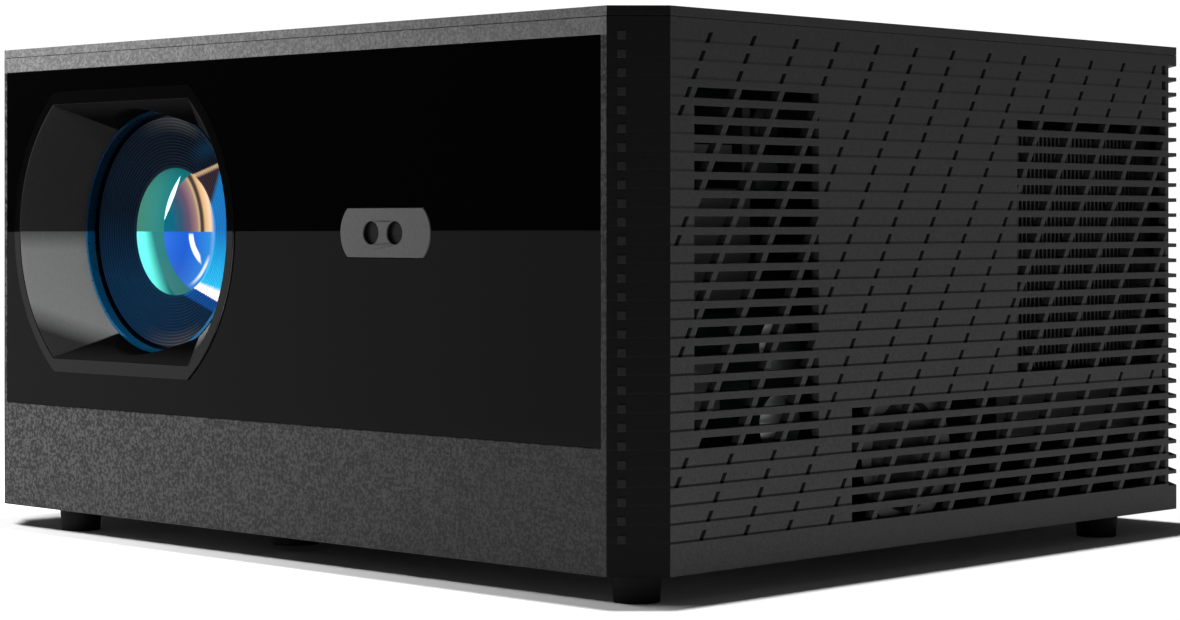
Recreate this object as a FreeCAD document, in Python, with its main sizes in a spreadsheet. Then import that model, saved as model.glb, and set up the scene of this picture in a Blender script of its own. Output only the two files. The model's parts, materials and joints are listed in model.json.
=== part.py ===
"""Home projector: a single-LCD projector in an eight-sided case, with its light engine inside.

The case stands on the XY plane.  The front face looks along -Y, +X is to the right of somebody
who looks at the front, and +Z is up.  The origin is below the middle of the case, at floor level.
"""
import FreeCAD, Part
import Sketcher
import PartDesign
import math
import os

V = FreeCAD.Vector
doc = FreeCAD.newDocument("projector")

# ---------------------------------------------------------------- driving dimensions (mm)

DIMENSIONS = [
    ("case_wide", 273.4), ("case_deep", 244.3), ("case_tall", 137.0), ("foot_tall", 6.5),
    ("facet_leg", 10.7), ("wall", 2.4), ("front_thick", 3.4), ("seam", 0.12),
    ("cover_thick", 2.4), ("base_thick", 2.5), ("fit_gap", 0.2),
    ("row_pitch", 4.476), ("row_first", 8.35), ("slot_tall", 2.6), ("row_count", 28),
    ("cell_pitch", 16.38), ("cell_start", 14.13), ("cell_shift", 2.514),
    ("slant", 0.5617), ("tick_wide", 1.5), ("rib_wide", 2.0),
    ("fin_thick", 1.1), ("fin_first", 9.0), ("corner_notch", 4.3),
    ("glass_left", -124.7), ("glass_right", 123.8), ("glass_low", 37.3), ("glass_high", 136.5),
    ("glass_thick", 1.6),
    ("lens_x", -68.0), ("lens_z", 88.8), ("hood_radius", 52.1), ("hood_flat", 41.3),
    ("mouth_radius", 49.4), ("mouth_flat", 37.5), ("throat_flat", 30.3), ("throat_y", -108.4),
    ("sleeve_radius", 38.0), ("sleeve_end", -97.5),
    ("barrel_radius", 35.4), ("barrel_front", -108.6), ("barrel_long", 51.0),
    ("groove_outer", 34.5), ("groove_inner", 33.4), ("ridge_front", -105.2),
    ("pupil_radius", 18.7), ("pupil_front", -102.4), ("tube_gap", 0.05), ("tube_wall", 2.6),
    ("rack_line", 40.2),
    ("sensor_x", 46.4), ("sensor_wide", 34.9), ("sensor_tall", 12.8), ("sensor_hole", 3.05),
    ("sensor_one", 41.0), ("sensor_two", 50.2),
    ("foot_top_radius", 6.2), ("foot_low_radius", 5.65),
    ("pad_x", -14.0), ("pad_y", -101.5), ("pad_radius", 6.5), ("pad_low", 1.7),
    ("screw_radius", 3.0), ("screw_gap", 0.05),
    ("engine_low", 51.2), ("engine_high", 125.0), ("engine_wall", 2.2),
    ("fold_y", 60.0), ("mirror_long", 112.0), ("mirror_thick", 3.0),
    ("lcd_x", -13.0), ("lcd_wide", 100.0), ("lcd_tall", 70.8),
    ("sink_low", 45.0), ("sink_high", 118.0), ("sink_near", 33.0), ("sink_far", 103.0),
    ("sink_left", 68.0), ("sink_right", 128.0), ("sink_pitch", 2.0), ("sink_fin", 0.7),
    ("fan_side", 70.0), ("fan_thick", 15.0), ("fan_low", 30.0), ("small_fan", 50.0),
    ("key_radius", 5.5), ("key_gap", 0.35), ("key_travel", 0.8),
    ("gear_module", 1.0), ("pinion_teeth", 10), ("pinion_y", -72.0),
]


def make_sheet():
    """The spreadsheet that every size is read from."""
    sheet = doc.addObject("Spreadsheet::Sheet", "dims")
    for row, (name, value) in enumerate(DIMENSIONS, start=1):
        sheet.set("A%d" % row, name)
        sheet.set("B%d" % row, repr(value))
        sheet.setAlias("B%d" % row, name)
    doc.recompute()
    return sheet


SHEET = make_sheet()
NODES = []


def dim(name):
    """A driving dimension as a number."""
    return float(SHEET.get(name))


def expr(text):
    """A sheet expression: every driving dimension's name gets its sheet in front."""
    for name, _ in sorted(DIMENSIONS, key=lambda item: -len(item[0])):
        text = text.replace("<%s>" % name, "dims.%s" % name)
    return text


# ---------------------------------------------------------------- feature helpers

def place(obj, at):
    """Ties an object's position to sheet expressions."""
    for axis, text in zip("xyz", at):
        obj.setExpression("Placement.Base." + axis, expr(text))


def box(name, size, at):
    """A Part box from its size and its low corner, all of them expressions."""
    obj = doc.addObject("Part::Box", name)
    for prop, text in zip(("Length", "Width", "Height"), size):
        obj.setExpression(prop, expr(text))
    place(obj, at)
    return obj


def rod(name, radius, length, at, along="z"):
    """A Part cylinder that starts at a point and runs along +X, +Y or +Z."""
    obj = doc.addObject("Part::Cylinder", name)
    obj.setExpression("Radius", expr(radius))
    obj.setExpression("Height", expr(length))
    turns = {"z": FreeCAD.Rotation(), "x": FreeCAD.Rotation(V(0, 1, 0), 90),
             "y": FreeCAD.Rotation(V(1, 0, 0), -90)}
    obj.Placement = FreeCAD.Placement(V(0, 0, 0), turns[along])
    place(obj, at)
    return obj


def taper(name, low_radius, high_radius, length, at):
    """A Part cone frustum along +Z."""
    obj = doc.addObject("Part::Cone", name)
    obj.setExpression("Radius1", expr(low_radius))
    obj.setExpression("Radius2", expr(high_radius))
    obj.setExpression("Height", expr(length))
    place(obj, at)
    return obj


def fuse(name, objects):
    """One solid from several."""
    obj = doc.addObject("Part::MultiFuse", name)
    obj.Shapes = objects
    obj.Refine = True
    return obj


def group(name, objects):
    """Separate solids that share one node."""
    obj = doc.addObject("Part::Compound", name)
    obj.Links = objects
    return obj


def cut(name, base, tools):
    """A solid less one or more tools."""
    obj = doc.addObject("Part::Cut", name)
    obj.Base = base
    obj.Tool = tools[0] if len(tools) == 1 else group(name + "_tools", tools)
    return obj


def formed(name, shape):
    """A sub-part whose shape no sketch or primitive gives."""
    obj = doc.addObject("Part::Feature", name)
    obj.Shape = shape
    return obj


def node(obj, label):
    """Names a finished sub-part and lists it for the export."""
    obj.Label = label
    NODES.append(obj)
    return obj


def sketch_polygon(sketch, points):
    """A closed polygon in a sketch, each corner tied to two sheet expressions."""
    doc.recompute()
    count = len(points)
    for index in range(count):
        start = V(math.cos(2 * math.pi * index / count), math.sin(2 * math.pi * index / count), 0)
        turn = 2 * math.pi * (index + 1) / count
        sketch.addGeometry(Part.LineSegment(start, V(math.cos(turn), math.sin(turn), 0)), False)
    for index in range(count):
        following = (index + 1) % count
        sketch.addConstraint(Sketcher.Constraint("Coincident", index, 2, following, 1))
    for index, (across, up) in enumerate(points):
        for kind, text in (("DistanceX", across), ("DistanceY", up)):
            number = sketch.addConstraint(Sketcher.Constraint(kind, -1, 1, index, 1, 0.5))
            sketch.setExpression("Constraints[%d]" % number, expr(text))


def padded(name, points, length, at):
    """A PartDesign body: a polygon on the XY plane, padded upwards."""
    body = doc.addObject("PartDesign::Body", name)
    sketch = body.newObject("Sketcher::SketchObject", name + "_outline")
    plane = [item for item in body.Origin.OriginFeatures if item.Role == "XY_Plane"][0]
    sketch.AttachmentSupport = (plane, [""])
    sketch.MapMode = "FlatFace"
    sketch_polygon(sketch, points)
    pad = body.newObject("PartDesign::Pad", name + "_pad")
    pad.Profile = sketch
    pad.setExpression("Length", expr(length))
    body.Tip = pad
    place(body, at)
    return body


def octagon(inset, inner=False):
    """Corners of the case outline, moved in by an inset, as expressions.

    An inner outline also clears the thicker front frame and the notched rear corners.
    """
    side = "(<case_wide> / 2 - (%s))" % inset
    rear = "(<case_deep> / 2 - (%s))" % inset
    front = "(<case_deep> / 2 - (%s))" % inset
    facet = "(<case_wide> / 2 + <case_deep> / 2 - <facet_leg> - (%s) * sqrt(2))" % inset
    rear_facet = facet
    if inner:
        front = "(%s - <front_thick> + <wall>)" % front
        rear_facet = "(%s - <corner_notch>)" % facet
    return [("%s - %s" % (facet, front), "-" + front), (side, "%s - %s" % (side, facet)),
            (side, "%s - %s" % (rear_facet, side)), ("%s - %s" % (rear_facet, rear), rear),
            ("%s - %s" % (rear, rear_facet), rear), ("-" + side, "%s - %s" % (rear_facet, side)),
            ("-" + side, "%s - %s" % (side, facet)), ("%s - %s" % (front, facet), "-" + front)]


def prism(points, low, high, axis="z"):
    """A solid from a flat polygon: points are in the plane across the axis."""
    frames = {"z": lambda a, b, c: V(a, b, c), "y": lambda a, b, c: V(a, c, b),
              "x": lambda a, b, c: V(c, a, b)}
    make = frames[axis]
    corners = [make(a, b, low) for a, b in points]
    face = Part.Face(Part.makePolygon(corners + [corners[0]]))
    return face.extrude(make(0, 0, high - low))


def flat_circle(radius, flat, y):
    """A circle with a flat above and below, as a wire in the plane y, around the lens axis."""
    reach = math.sqrt(radius ** 2 - flat ** 2)
    middle = V(dim("lens_x"), y, dim("lens_z"))
    right_low, right_high = middle + V(reach, 0, -flat), middle + V(reach, 0, flat)
    left_high, left_low = middle + V(-reach, 0, flat), middle + V(-reach, 0, -flat)
    edges = [
        Part.Arc(right_low, middle + V(radius, 0, 0), right_high).toShape(),
        Part.LineSegment(right_high, left_high).toShape(),
        Part.Arc(left_high, middle + V(-radius, 0, 0), left_low).toShape(),
        Part.LineSegment(left_low, right_low).toShape(),
    ]
    return Part.Wire(edges)


def flat_circle_solid(radius, flat, start, stop):
    """A straight block with the flattened circle as its section."""
    return Part.Face(flat_circle(radius, flat, start)).extrude(V(0, stop - start, 0))


def turned(points, x, z):
    """A solid turned about the line through (x, z) along Y; points are (y, radius)."""
    corners = [V(x + radius, y, z) for y, radius in points]
    face = Part.Face(Part.makePolygon(corners + [corners[0]]))
    return face.revolve(V(x, 0, z), V(0, 1, 0), 360)


# ---------------------------------------------------------------- case

WALL_TOP = "<foot_tall> + <case_tall> - <cover_thick> - <seam>"
SCREW_POSTS = [(118.0, -113.0), (124.5, 109.5), (-124.5, 109.5), (-124.5, -110.0)]
ENGINE_LEGS = [(-108.0, -40.0), (-28.0, -40.0), (45.0, 8.0), (45.0, 112.0), (-109.5, 16.0)]
FEET = [(127.0, -112.7), (127.2, 83.5), (-99.6, 83.5), (-99.6, -113.0)]
CEILING = [(70.0, -55.0), (70.0, 25.0), (-60.0, 25.0), (-60.0, -55.0)]
TRIPOD = (5.0, -15.0)
KEYS = {"key_up": (60.0, 92.0), "key_down": (60.0, 60.0), "key_left": (44.0, 76.0),
        "key_right": (76.0, 76.0), "key_ok": (60.0, 76.0), "power_button": (98.0, 76.0)}


def top_cover():
    plate = padded("cover_plate", octagon("0"), "<cover_thick>",
                   ("0", "0", WALL_TOP + " + <seam>"))
    lip_outer = padded("cover_lip_outer", octagon("<wall> + <fit_gap>", True), "2.3",
                       ("0", "0", WALL_TOP + " - 2"))
    lip_inner = padded("cover_lip_inner", octagon("<wall> + <fit_gap> + 1.8", True), "3",
                       ("0", "0", WALL_TOP + " - 2.5"))
    lip = cut("cover_lip", lip_outer, [lip_inner])
    posts = [rod("cover_post_%d" % i, "3.5", WALL_TOP + " + <seam> - 12",
                 (str(x), str(y), "12")) for i, (x, y) in enumerate(SCREW_POSTS)]
    whole = fuse("cover_whole", [plate, lip] + posts)
    holes = [rod("cover_key_hole_" + name, "<key_radius> + <key_gap>", "6",
                 (str(x), str(y), WALL_TOP)) for name, (x, y) in KEYS.items()]
    holes += [rod("cover_post_hole_%d" % i, "1.35", "12", (str(x), str(y), "11"))
              for i, (x, y) in enumerate(SCREW_POSTS)]
    node(cut("top_cover", whole, holes), "top_cover")


def base_tray():
    plate = padded("base_plate", octagon("<wall> + <fit_gap>", True), "<base_thick>",
                   ("0", "0", "<foot_tall>"))
    top = "<foot_tall> + <base_thick>"
    bosses = [rod("base_post_%d" % i, "3.6", "2.8", (str(x), str(y), top))
              for i, (x, y) in enumerate(SCREW_POSTS)]
    bosses += [rod("base_engine_leg_%d" % i, "3.5", "<engine_low> - (%s)" % top,
                   (str(x), str(y), top)) for i, (x, y) in enumerate(ENGINE_LEGS)]
    bosses += [rod("base_insert_boss_%d" % i, "5", "8", (str(x), str(y), top))
               for i, (x, y) in enumerate(CEILING)]
    bosses.append(rod("base_tripod_boss", "8", "10", (str(TRIPOD[0]), str(TRIPOD[1]), top)))
    bosses.append(rod("base_adjuster_boss", "6.5", "12", ("<pad_x>", "<pad_y>", top)))
    bosses += [rod("base_foot_boss_%d" % i, "3.4", "4", (str(x), str(y), top))
               for i, (x, y) in enumerate(FEET)]
    whole = fuse("base_whole", [plate] + bosses)
    low = "<foot_tall> - 1"
    holes = [rod("base_post_hole_%d" % i, "1.7", "20", (str(x), str(y), low))
             for i, (x, y) in enumerate(SCREW_POSTS)]
    holes += [rod("base_post_sink_%d" % i, "3.1", "2.6", (str(x), str(y), low))
              for i, (x, y) in enumerate(SCREW_POSTS)]
    holes += [rod("base_insert_hole_%d" % i, "3", "30", (str(x), str(y), low))
              for i, (x, y) in enumerate(CEILING)]
    holes.append(rod("base_tripod_hole", "5", "30", (str(TRIPOD[0]), str(TRIPOD[1]), low)))
    holes.append(rod("base_adjuster_hole", "<screw_radius> + <screw_gap>", "30",
                     ("<pad_x>", "<pad_y>", low)))
    holes += [rod("base_foot_hole_%d" % i, "1.35", "30", (str(x), str(y), low))
              for i, (x, y) in enumerate(FEET)]
    node(cut("base_tray", whole, holes), "base_tray")


def clip(points, axis, limit, keep_low):
    """A convex polygon cut off at a straight line across one axis."""
    result = []
    sign = 1 if keep_low else -1
    for index, here in enumerate(points):
        there = points[(index + 1) % len(points)]
        inside = sign * (limit - here[axis])
        beyond = sign * (limit - there[axis])
        if inside >= 0:
            result.append(here)
        if inside * beyond < 0:
            share = inside / (inside - beyond)
            result.append(tuple(a + share * (b - a) for a, b in zip(here, there)))
    return result


OPEN_AREAS = [(8.7, 56.1, 3, 22), (142.1, 217.0, 4, 19), (69.4, 217.0, 21, 27)]
SLOT_END = 217.0


def slots_in_row(row):
    """Openings of one grille row as (rearward, up) polygons; zero is the front facet's edge."""
    low = dim("foot_tall") + dim("case_tall") - dim("row_first") - dim("row_pitch") * row
    high = low + dim("slot_tall")
    lean = dim("slant") * dim("slot_tall") / 2
    spans = [(a, b) for a, b, first, last in OPEN_AREAS if first <= row <= last]

    def leaning(near, far):
        return [(near - lean, low), (far - lean, low), (far + lean, high), (near + lean, high)]

    polygons = []
    half = dim("tick_wide") / 2
    for cell in range(-1, 20):
        middle = dim("cell_start") + dim("cell_pitch") * cell - dim("cell_shift") * row
        ahead = middle + dim("cell_pitch")
        for start, stop in spans:
            window = leaning(middle + half + dim("rib_wide"), ahead + half)
            window = clip(window, 0, start, False)
            window = clip(window, 0, stop, True) if len(window) > 2 else []
            if len(window) > 2 and max(p[0] for p in window) - min(p[0] for p in window) > 0.8:
                polygons.append(window)
        tick = leaning(middle - half, middle + half)
        left, right = tick[0][0], tick[2][0]
        clear = all(right < start - 0.35 or left > stop + 0.35 for start, stop in spans)
        if clear and left > 0.4 and right < SLOT_END - 2.8:
            polygons.append(tick)
    if all(stop < SLOT_END for _, stop in spans):
        polygons.append([(SLOT_END - 2, low), (SLOT_END, low), (SLOT_END, high),
                         (SLOT_END - 2, high)])
    return polygons


def side_grille(label, side):
    """A side wall with its front facet, its slotted field and its finned rear corner."""
    half_x, half_y = dim("case_wide") / 2, dim("case_deep") / 2
    leg, wall, notch = dim("facet_leg"), dim("wall"), dim("corner_notch")
    low = dim("foot_tall")
    top = low + dim("case_tall")
    high = top - dim("cover_thick") - dim("seam")
    slope = wall * math.sqrt(2)
    front_edge = -half_y + leg
    inner_front = front_edge + slope - wall
    rear_edge = half_y - leg - notch
    inner_rear = rear_edge - slope + wall - 0.01
    seam_y = rear_edge - 0.8
    plate_outline = [V(half_x - wall, front_edge, low), V(half_x - wall, seam_y, low),
                     V(half_x - wall, seam_y, high), V(half_x - wall, front_edge, high)]
    wires = [Part.makePolygon(plate_outline + [plate_outline[0]])]
    for row in range(int(dim("row_count"))):
        for polygon in slots_in_row(row):
            corners = [V(half_x - wall, front_edge + s, z) for s, z in polygon]
            wires.append(Part.makePolygon(corners + [corners[0]]))
    plate = Part.makeFace(wires, "Part::FaceMakerBullseye").extrude(V(wall, 0, 0))
    front = prism([(half_x - leg, -half_y), (half_x, front_edge), (half_x - wall, front_edge),
                   (half_x - wall, inner_front), (half_x - leg, -half_y + slope)], low, high)
    chord_x = half_x - leg - notch
    rear = prism([(half_x - wall, inner_rear), (half_x - wall, seam_y), (half_x, seam_y),
                  (half_x, rear_edge), (chord_x, half_y), (chord_x, half_y - slope)], low, high)
    corner = [(half_x, rear_edge), (half_x, half_y - leg), (half_x - leg, half_y),
              (chord_x, half_y)]
    first, pitch, thick = dim("fin_first"), dim("row_pitch"), dim("fin_thick")
    stack = [prism(corner, top - first + pitch - thick, high)]
    stack += [prism(corner, top - first - pitch * row - thick, top - first - pitch * row)
              for row in range(int(dim("row_count")) - 1)]
    stack.append(prism(corner, low, top - first - pitch * (dim("row_count") - 1)))
    whole = plate.fuse([front, rear] + stack).removeSplitter()
    if side < 0:
        whole = whole.mirror(V(0, 0, 0), V(1, 0, 0))
    node(formed(label, whole), label)


def barrel_outline(wide, tall, x, z, y_start, y_stop):
    """A block with flat top and bottom and bowed sides."""
    half, bow = tall / 2, tall * 0.22
    corners = [V(x + wide / 2 - bow, y_start, z - half), V(x + wide / 2, y_start, z),
               V(x + wide / 2 - bow, y_start, z + half), V(x - wide / 2 + bow, y_start, z + half),
               V(x - wide / 2, y_start, z), V(x - wide / 2 + bow, y_start, z - half)]
    edges = [Part.Arc(corners[0], corners[1], corners[2]).toShape(),
             Part.LineSegment(corners[2], corners[3]).toShape(),
             Part.Arc(corners[3], corners[4], corners[5]).toShape(),
             Part.LineSegment(corners[5], corners[0]).toShape()]
    return Part.Face(Part.Wire(edges)).extrude(V(0, y_stop - y_start, 0))


def front_frame():
    face_y = -dim("case_deep") / 2
    width = dim("case_wide") / 2 - dim("facet_leg") - 0.1
    low = dim("foot_tall")
    high = low + dim("case_tall") - dim("cover_thick") - dim("seam")
    back = face_y + dim("front_thick")
    plate = prism([(-width, low), (width, low), (width, high), (-width, high)], face_y, back, "y")
    floor = face_y + dim("glass_thick") + 0.1
    seat = prism([(dim("glass_left") - 0.1, dim("glass_low") - 0.1),
                  (dim("glass_right") + 0.1, dim("glass_low") - 0.1),
                  (dim("glass_right") + 0.1, dim("glass_high") + 0.1),
                  (dim("glass_left") - 0.1, dim("glass_high") + 0.1)], face_y - 1, floor, "y")
    hole = flat_circle_solid(dim("hood_radius") - 0.5, dim("hood_flat") - 0.5, face_y - 1, back + 1)
    sensor = barrel_outline(dim("sensor_wide") + 0.4, dim("sensor_tall") + 0.4, dim("sensor_x"),
                            dim("lens_z"), face_y - 1, back + 1)
    node(formed("front_frame", plate.cut([seat, hole, sensor])), "front_frame")


def front_glass():
    face_y = -dim("case_deep") / 2
    sheet = prism([(dim("glass_left"), dim("glass_low")), (dim("glass_right"), dim("glass_low")),
                   (dim("glass_right"), dim("glass_high")), (dim("glass_left"), dim("glass_high"))],
                  face_y + 0.1, face_y + 0.1 + dim("glass_thick"), "y")
    hole = flat_circle_solid(dim("hood_radius") - 0.5, dim("hood_flat") - 0.5,
                             face_y - 1, face_y + 4)
    sensor = barrel_outline(dim("sensor_wide") + 0.4, dim("sensor_tall") + 0.4, dim("sensor_x"),
                            dim("lens_z"), face_y - 1, face_y + 4)
    node(formed("front_glass", sheet.cut([hole, sensor])), "front_glass")


PORTS = {"hdmi": [(-92.0, 27.0), (-70.0, 27.0)], "usb": [(-46.0, 27.0), (-26.0, 27.0)],
         "audio": (-8.0, 27.0), "ac": (92.0, 28.0), "ir": (14.0, 27.0)}


def rear_panel():
    width = "<case_wide> / 2 - <facet_leg> - <corner_notch> - 0.1"
    face_y = "<case_deep> / 2 - <wall>"
    plate = box("rear_plate", ("2 * (%s)" % width, "<wall>", WALL_TOP + " - <foot_tall>"),
                ("-(%s)" % width, face_y, "<foot_tall>"))
    deep = "<wall> + 2"
    start = face_y + " - 1"
    tools = []
    for index, (x, z) in enumerate(PORTS["hdmi"]):
        tools.append(box("rear_hdmi_%d" % index, ("15.6", deep, "6.2"),
                         (str(x - 7.8), start, str(z - 3.1))))
    for index, (x, z) in enumerate(PORTS["usb"]):
        tools.append(box("rear_usb_%d" % index, ("13.8", deep, "6.4"),
                         (str(x - 6.9), start, str(z - 3.2))))
    tools.append(rod("rear_audio", "3.6", deep, (str(PORTS["audio"][0]), start,
                                                 str(PORTS["audio"][1])), "y"))
    tools.append(rod("rear_ir", "5.2", deep, (str(PORTS["ir"][0]), start,
                                              str(PORTS["ir"][1])), "y"))
    tools.append(box("rear_ac", ("27.6", deep, "20.2"), (str(PORTS["ac"][0] - 13.8), start,
                                                         str(PORTS["ac"][1] - 10.1))))
    for row in range(9):
        for column in range(12):
            tools.append(box("rear_vent_%d_%d" % (row, column), ("11", deep, "2.6"),
                             (str(-102.0 + 16.0 * column), start, str(64.0 + 6.0 * row))))
    node(cut("rear_panel", plate, tools), "rear_panel")


def feet():
    pads = []
    screws = []
    for index, (x, y) in enumerate(FEET):
        body = taper("foot_body_%d" % index, "<foot_low_radius>", "<foot_top_radius>",
                     "<foot_tall>", (str(x), str(y), "0"))
        sink = rod("foot_sink_%d" % index, "2.9", "3.5", (str(x), str(y), "-1"))
        hole = rod("foot_hole_%d" % index, "1.6", "9", (str(x), str(y), "-1"))
        pads.append(cut("foot_%d" % index, body, [sink, hole]))
        head = rod("foot_head_%d" % index, "2.7", "1.5", (str(x), str(y), "1"))
        shank = rod("foot_shank_%d" % index, "1.3", "8.6", (str(x), str(y), "2"))
        screws.append(fuse("foot_screw_%d" % index, [head, shank]))
    node(group("corner_feet", pads), "corner_feet")
    node(group("foot_screws", screws), "foot_screws")


def case_screws():
    screws = []
    for index, (x, y) in enumerate(SCREW_POSTS):
        head = rod("case_head_%d" % index, "2.8", "1.3", (str(x), str(y), "6.7"))
        shank = rod("case_shank_%d" % index, "1.3", "13.5", (str(x), str(y), "7.5"))
        screws.append(fuse("case_screw_%d" % index, [head, shank]))
    node(group("case_screws", screws), "case_screws")


def inserts():
    rings = []
    for index, (x, y) in enumerate(CEILING):
        sleeve = rod("insert_sleeve_%d" % index, "2.95", "9.5", (str(x), str(y), "<foot_tall>"))
        hole = rod("insert_hole_%d" % index, "1.65", "11", (str(x), str(y), "<foot_tall> - 0.5"))
        rings.append(cut("insert_%d" % index, sleeve, [hole]))
    node(group("ceiling_inserts", rings), "ceiling_inserts")
    sleeve = rod("tripod_sleeve", "4.95", "11", (str(TRIPOD[0]), str(TRIPOD[1]), "<foot_tall>"))
    hole = rod("tripod_hole", "2.6", "9.5", (str(TRIPOD[0]), str(TRIPOD[1]), "<foot_tall> - 0.5"))
    node(cut("tripod_insert", sleeve, [hole]), "tripod_insert")


def adjuster():
    disc = rod("pad_disc", "<pad_radius>", "4.4", ("<pad_x>", "<pad_y>", "<pad_low>"))
    socket = rod("pad_socket", "<screw_radius> + 0.85", "5", ("<pad_x>", "<pad_y>",
                                                             "<pad_low> + 1.9"))
    node(cut("adjuster_pad", disc, [socket]), "adjuster_pad")
    ball = rod("adjuster_ball", "<screw_radius> + 0.8", "1.2", ("<pad_x>", "<pad_y>",
                                                              "<pad_low> + 1.95"))
    stem = rod("adjuster_stem", "<screw_radius>", "34", ("<pad_x>", "<pad_y>", "<pad_low> + 2.5"))
    node(fuse("adjuster_screw", [ball, stem]), "adjuster_screw")


# ---------------------------------------------------------------- lens

def lens_hood():
    """Tapered recess: a flattened cone that narrows to a round sleeve for the barrel."""
    x, z = dim("lens_x"), dim("lens_z")
    face_y = -dim("case_deep") / 2
    neck = dim("throat_y") + 1.4
    rim = flat_circle_solid(dim("hood_radius"), dim("hood_flat"), face_y - 0.4, face_y + 0.1)
    wide, tall = dim("hood_radius") - 0.7, dim("hood_flat") - 0.7
    collar = flat_circle_solid(wide, tall, face_y + 0.1, face_y + 4.5)
    shell = Part.makeLoft([flat_circle(wide, tall, face_y + 4.5),
                           flat_circle(dim("sleeve_radius"), dim("sleeve_radius") - 0.6, neck)], True)
    sleeve = Part.makeCylinder(dim("sleeve_radius"), dim("sleeve_end") - neck + 0.2,
                               V(x, neck - 0.2, z), V(0, 1, 0))
    bore_radius = dim("barrel_radius") + 0.25
    hollow = Part.makeLoft([
        flat_circle(dim("mouth_radius"), dim("mouth_flat"), face_y - 0.4),
        flat_circle(bore_radius, dim("throat_flat"), dim("throat_y"))], True)
    bore = Part.makeCylinder(bore_radius, 30, V(x, face_y - 0.4, z), V(0, 1, 0))
    node(formed("lens_hood", rim.fuse([collar, shell, sleeve]).cut([hollow, bore])), "lens_hood")


def lens_group():
    x, z = dim("lens_x"), dim("lens_z")
    outer, groove, ridge = dim("barrel_radius"), dim("groove_outer"), dim("groove_inner")
    front = dim("barrel_front")
    back = front + dim("barrel_long")
    pupil, glass_y = dim("pupil_radius"), dim("pupil_front")
    barrel = [(front, groove), (front, outer), (back, outer), (back, outer - 2.4),
              (front + 26, outer - 2.4), (front + 26, groove)]
    rack_seat = Part.makeBox(8.0, 29, 1.5, V(x - 4, -89.5, z - outer - 0.5))
    node(formed("lens_barrel", turned(barrel, x, z).cut(rack_seat)), "lens_barrel")
    steps, start = 12, dim("ridge_front")
    profile = [(start + 3.4, groove - 0.05), (start + 3.4, ridge), (start, ridge)]
    for step in range(steps):
        share = (step + 1) / steps
        radius = ridge + (pupil - ridge) * share
        depth = start + (glass_y - start) * share
        profile.append((depth - 0.4, radius + 0.4))
        profile.append((depth, radius))
    profile += [(glass_y, pupil + 1.5), (glass_y + 6, pupil + 1.5), (glass_y + 6, groove - 0.05)]
    node(formed("lens_baffle", turned(profile, x, z)), "lens_baffle")
    bulge = 3.6
    rim = pupil + 1.4
    sphere = (rim ** 2 + bulge ** 2) / (2 * bulge)
    rim_y = glass_y + 0.7
    dome = Part.makeSphere(sphere, V(x, rim_y - bulge + sphere, z))
    stock = Part.makeCylinder(rim, bulge, V(x, rim_y - bulge, z), V(0, 1, 0))
    edge = Part.makeCylinder(rim, 2.5, V(x, rim_y, z), V(0, 1, 0))
    node(formed("front_lens", dome.common(stock).fuse(edge).removeSplitter()), "front_lens")
    glass = outer - 2.5
    rear = turned([(back - 14, 0), (back - 14, glass), (back - 8, glass), (back - 8, 27),
                   (back - 4.5, 16), (back - 3.4, 0)], x, z)
    node(formed("rear_lens", rear), "rear_lens")


def lens_housing():
    x, z = dim("lens_x"), dim("lens_z")
    inner = dim("barrel_radius") + dim("tube_gap")
    outer = inner + dim("tube_wall")
    tube = turned([(-90, inner), (-90, outer), (-54.5, outer), (-54.5, 43), (-52, 43),
                   (-52, inner)], x, z)
    slot = Part.makeBox(9.2, 36, 12, V(x - 4.6, -91, z - outer - 6))
    sides = [Part.makeBox(4, 10, 100, V(x + sign * 45 - 2, -58, z - 50)) for sign in (-1, 1)]
    node(formed("lens_housing", tube.cut([slot] + sides)), "lens_housing")


def toothed_bar():
    """The rack on the barrel: teeth face down and match the pinion's pitch."""
    x = dim("lens_x")
    pitch = math.pi * dim("gear_module")
    line = dim("lens_z") - dim("rack_line")
    root = line + 1.0
    top = dim("lens_z") - dim("barrel_radius") + 1.0
    profile = [(-89.5, root), (-89.5, top), (-60.5, top), (-60.5, root)]
    for index in range(3, -6, -1):
        middle = dim("pinion_y") + pitch * index
        profile += [(middle + 0.75, root), (middle + 0.3, line - 0.8), (middle - 0.3, line - 0.8),
                    (middle - 0.75, root)]
    return prism(profile, x - 4, x + 4, "x")


def focus_drive():
    node(formed("focus_rack", toothed_bar()), "focus_rack")
    x = dim("lens_x")
    teeth = int(dim("pinion_teeth"))
    radius = dim("gear_module") * teeth / 2
    line = dim("lens_z") - dim("rack_line")
    middle = V(x - 3, dim("pinion_y"), line - radius)
    points = []
    for index in range(teeth):
        turn = math.pi / 2 + 2 * math.pi * (index + 0.5) / teeth
        for ring, half in ((radius - 1.1, 0.17), (radius + 0.75, 0.055)):
            points.append((ring, turn - half))
        for ring, half in ((radius + 0.75, 0.055), (radius - 1.1, 0.17)):
            points.append((ring, turn + half))
    corners = [V(middle.x, middle.y + ring * math.cos(turn), middle.z + ring * math.sin(turn))
               for ring, turn in points]
    gear = Part.Face(Part.makePolygon(corners + [corners[0]])).extrude(V(6, 0, 0))
    shaft = Part.makeCylinder(1.0, 13, middle + V(-1, 0, 0), V(1, 0, 0))
    node(formed("focus_pinion", gear.fuse(shaft)), "focus_pinion")
    can = Part.makeCylinder(6.5, 18, middle + V(8, 0, 0), V(1, 0, 0))
    ear = Part.makeBox(1.2, 16, 26, V(middle.x + 8, middle.y - 8, middle.z - 8))
    trim = Part.makeCylinder(dim("barrel_radius") + dim("tube_gap") + dim("tube_wall") + 0.05, 60,
                             V(x, -100, dim("lens_z")), V(0, 1, 0))
    bore = Part.makeCylinder(1.06, 8, middle + V(7, 0, 0), V(1, 0, 0))
    node(formed("focus_motor", can.fuse(ear).cut([trim, bore])), "focus_motor")


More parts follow.
